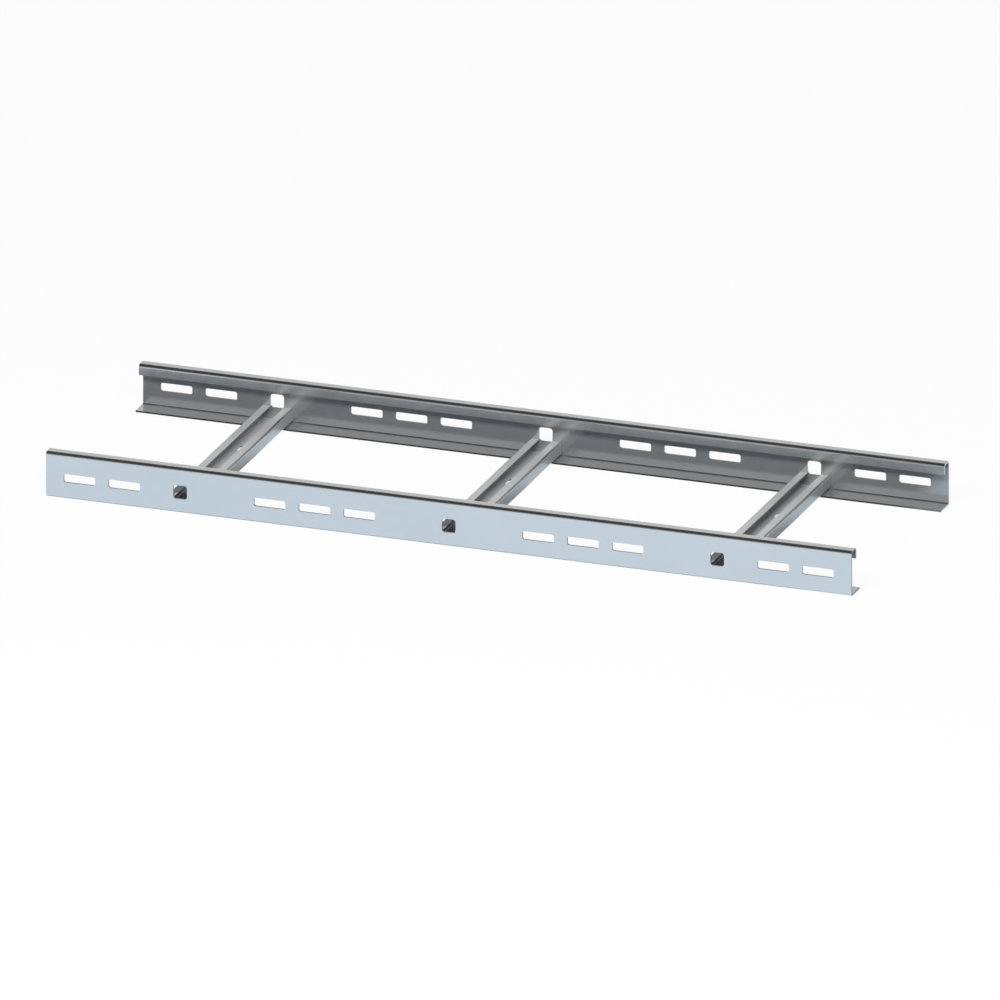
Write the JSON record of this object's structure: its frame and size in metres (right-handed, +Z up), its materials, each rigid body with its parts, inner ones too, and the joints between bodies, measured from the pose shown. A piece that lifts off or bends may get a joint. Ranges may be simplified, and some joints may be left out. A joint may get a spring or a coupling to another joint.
{
  "type": "cable ladder section",
  "caption": "Straight steel cable ladder section: perforated side rails with inward flanges, joined by open-slot channel rungs.",
  "frame": {"origin": "on the floor under the middle of the ladder", "axes": "+X along the side rails, +Y from the front rail to the back rail, +Z up"},
  "size_m": [0.9, 0.3, 0.05],
  "materials": {
    "galvanised_rail": "satin",
    "galvanised_rung": "satin"
  },
  "bodies": {
    "root": {"side_rail_front": "galvanised_rail", "side_rail_back": "galvanised_rail", "rung_1": "galvanised_rung", "rung_2": "galvanised_rung", "rung_3": "galvanised_rung"}
  },
  "joints": []
}
